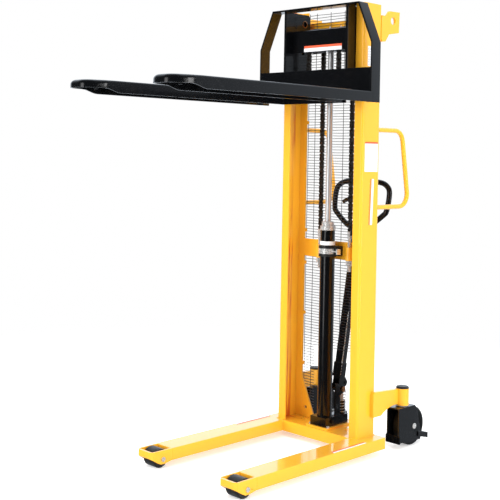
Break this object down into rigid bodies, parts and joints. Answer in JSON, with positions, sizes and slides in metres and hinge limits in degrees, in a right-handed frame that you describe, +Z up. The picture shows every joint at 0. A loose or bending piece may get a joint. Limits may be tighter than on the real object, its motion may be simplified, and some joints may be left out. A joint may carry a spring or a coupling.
{
  "type": "walkie stacker",
  "caption": "Manual pallet stacker: straddle legs, channel mast with mesh guard, hand-pumped ram and chain lift, raised fork carriage with backrest, rear swivel casters.",
  "frame": {"origin": "on the floor, under the middle of the machine's bounding box", "axes": "+Z up, forks towards -Y, operator at +Y, +X to the right as seen from the fork end"},
  "size_m": [0.672, 1.6194, 1.997],
  "materials": {
    "yellow_paint": "gloss powder coat",
    "black_paint": "gloss",
    "chain_steel": "oiled",
    "mesh_wire": "satin",
    "chrome": "polished",
    "zinc_steel": "zinc plated",
    "white_plastic": "matte",
    "rubber": "matte",
    "copper_pin": "satin",
    "roller_steel": "rolled and greased",
    "roller_plastic": "satin nylon",
    "tyre": "satin"
  },
  "bodies": {
    "chassis": {"leg_left": "yellow_paint", "leg_right": "yellow_paint", "leg_tips": "yellow_paint", "base_crossbeam": "yellow_paint", "floor_plate": "yellow_paint", "mast_channel_left": "yellow_paint", "mast_channel_right": "yellow_paint", "top_crossbeam": "yellow_paint", "mid_brace": "yellow_paint", "mast_gussets": "yellow_paint", "lifting_lugs": "yellow_paint", "caster_brackets": "yellow_paint", "grab_handle_left": "yellow_paint", "grab_handle_right": "yellow_paint", "mesh_guard": "mesh_wire", "ram_cylinder": "black_paint", "gland_nut": "zinc_steel", "wiper_band": "white_plastic", "clamp_sleeve": "rubber", "clamp_strap": "zinc_steel", "pump_block": "black_paint", "pump_barrel": "black_paint", "fulcrum_bracket": "black_paint", "fulcrum_pin": "copper_pin", "chain_anchors": "zinc_steel", "rear_chains": "chain_steel", "load_axles": "zinc_steel", "pump_spring": "chrome"},
    "ram": {"piston_rod": "chrome", "crosshead": "black_paint", "pulley_axle": "zinc_steel", "chain_wraps": "chain_steel", "front_chains": "chain_steel"},
    "pulley_left": {"pulley_left": "roller_steel"},
    "pulley_right": {"pulley_right": "roller_steel"},
    "carriage": {"carriage_side_left": "black_paint", "carriage_side_right": "black_paint", "backrest": "black_paint", "front_plate": "black_paint", "cover_plate": "black_paint", "fork_left": "black_paint", "fork_right": "black_paint"},
    "guide_upper_left": {"guide_upper_left": "roller_steel"},
    "guide_upper_right": {"guide_upper_right": "roller_steel"},
    "guide_lower_left": {"guide_lower_left": "roller_steel"},
    "guide_lower_right": {"guide_lower_right": "roller_steel"},
    "load_roller_left": {"load_roller_left": "roller_plastic"},
    "load_roller_right": {"load_roller_right": "roller_plastic"},
    "caster_left": {"caster_yoke_left": "black_paint", "caster_pins_left": "zinc_steel"},
    "caster_right": {"caster_yoke_right": "black_paint", "caster_pins_right": "zinc_steel"},
    "caster_wheel_left": {"caster_wheel_left": "tyre"},
    "caster_wheel_right": {"caster_wheel_right": "tyre"},
    "tiller": {"tiller_bar": "black_paint", "handle_loop": "black_paint"},
    "release_lever": {"release_lever": "black_paint"},
    "pump_plunger": {"pump_plunger": "chrome"},
    "valve_lever": {"valve_lever": "zinc_steel"},
    "valve_chain": {"valve_chain": "zinc_steel"}
  },
  "joints": [
    {"name": "ram_lift", "type": "slide", "parent": "chassis", "child": "ram", "axis": [0, 0, 1], "range_m": [-0.755, 0], "deforming": ["rear_chains"]},
    {"name": "carriage_lift", "type": "slide", "parent": "ram", "child": "carriage", "axis": [0, 0, 1], "range_m": [-0.755, 0], "deforming": ["front_chains"]},
    {"name": "pulley_left_turn", "type": "hinge", "parent": "ram", "child": "pulley_left", "pos_m": [-0.089, 0.4215, 1.85], "axis": [1, 0, 0], "range_deg": [0, 850]},
    {"name": "pulley_right_turn", "type": "hinge", "parent": "ram", "child": "pulley_right", "pos_m": [0.089, 0.4215, 1.85], "axis": [1, 0, 0], "range_deg": [0, 850]},
    {"name": "guide_upper_left_roll", "type": "hinge", "parent": "carriage", "child": "guide_upper_left", "pos_m": [-0.2125, 0.4235, 1.92], "axis": [1, 0, 0], "range_deg": [-1635, 0]},
    {"name": "guide_lower_left_roll", "type": "hinge", "parent": "carriage", "child": "guide_lower_left", "pos_m": [-0.2125, 0.4235, 1.65], "axis": [1, 0, 0], "range_deg": [0, 1635]},
    {"name": "guide_upper_right_roll", "type": "hinge", "parent": "carriage", "child": "guide_upper_right", "pos_m": [0.2125, 0.4235, 1.92], "axis": [1, 0, 0], "range_deg": [-1635, 0]},
    {"name": "guide_lower_right_roll", "type": "hinge", "parent": "carriage", "child": "guide_lower_right", "pos_m": [0.2125, 0.4235, 1.65], "axis": [1, 0, 0], "range_deg": [0, 1635]},
    {"name": "load_roller_left_roll", "type": "hinge", "parent": "chassis", "child": "load_roller_left", "pos_m": [-0.25, -0.3705, 0.04], "axis": [1, 0, 0], "continuous": true},
    {"name": "caster_left_swivel", "type": "hinge", "parent": "chassis", "child": "caster_left", "pos_m": [-0.263, 0.6585, 0.188], "axis": [0, 0, 1], "continuous": true},
    {"name": "caster_wheel_left_roll", "type": "hinge", "parent": "caster_left", "child": "caster_wheel_left", "pos_m": [-0.263, 0.7065, 0.088], "axis": [1, 0, 0], "continuous": true},
    {"name": "load_roller_right_roll", "type": "hinge", "parent": "chassis", "child": "load_roller_right", "pos_m": [0.25, -0.3705, 0.04], "axis": [1, 0, 0], "continuous": true},
    {"name": "caster_right_swivel", "type": "hinge", "parent": "chassis", "child": "caster_right", "pos_m": [0.263, 0.6585, 0.188], "axis": [0, 0, 1], "continuous": true},
    {"name": "caster_wheel_right_roll", "type": "hinge", "parent": "caster_right", "child": "caster_wheel_right", "pos_m": [0.263, 0.7065, 0.088], "axis": [1, 0, 0], "continuous": true},
    {"name": "pump_handle", "type": "hinge", "parent": "chassis", "child": "tiller", "pos_m": [0, 0.5115, 0.24], "axis": [-1, 0, 0], "range_deg": [0, 60], "stiffness_Nm_per_rad": 45, "springref_deg": -22.92},
    {"name": "plunger_stroke", "type": "slide", "parent": "chassis", "child": "pump_plunger", "axis": [0, 0, 1], "range_m": [-0.0388, 0], "deforming": ["pump_spring"]},
    {"name": "release_squeeze", "type": "hinge", "parent": "tiller", "child": "release_lever", "pos_m": [0, 0.64046, 1.11583], "axis": [0, 0.9854, -0.1702], "range_deg": [0, 18], "stiffness_Nm_per_rad": 3, "springref_deg": -17.19},
    {"name": "valve_lever_lift", "type": "hinge", "parent": "chassis", "child": "valve_lever", "pos_m": [0, 0.4735, 0.14], "axis": [1, 0, 0], "range_deg": [0, 15]},
    {"name": "valve_chain_lift", "type": "slide", "parent": "chassis", "child": "valve_chain", "axis": [0, 0, 1], "range_m": [0, 0.0055]}
  ],
  "couplings": [
    {"joint": "carriage_lift", "follows": "ram_lift", "ratio": 1},
    {"joint": "pulley_left_turn", "follows": "ram_lift", "rad_per_m": -19.608},
    {"joint": "pulley_right_turn", "follows": "ram_lift", "rad_per_m": -19.608},
    {"joint": "guide_upper_left_roll", "follows": "ram_lift", "rad_per_m": 37.736},
    {"joint": "guide_lower_left_roll", "follows": "ram_lift", "rad_per_m": -37.736},
    {"joint": "guide_upper_right_roll", "follows": "ram_lift", "rad_per_m": 37.736},
    {"joint": "guide_lower_right_roll", "follows": "ram_lift", "rad_per_m": -37.736},
    {"joint": "plunger_stroke", "follows": "pump_handle", "m_per_rad": -0.036956},
    {"joint": "valve_lever_lift", "follows": "release_squeeze", "ratio": 0.8},
    {"joint": "valve_chain_lift", "follows": "release_squeeze", "m_per_rad": 0.0159}
  ]
}
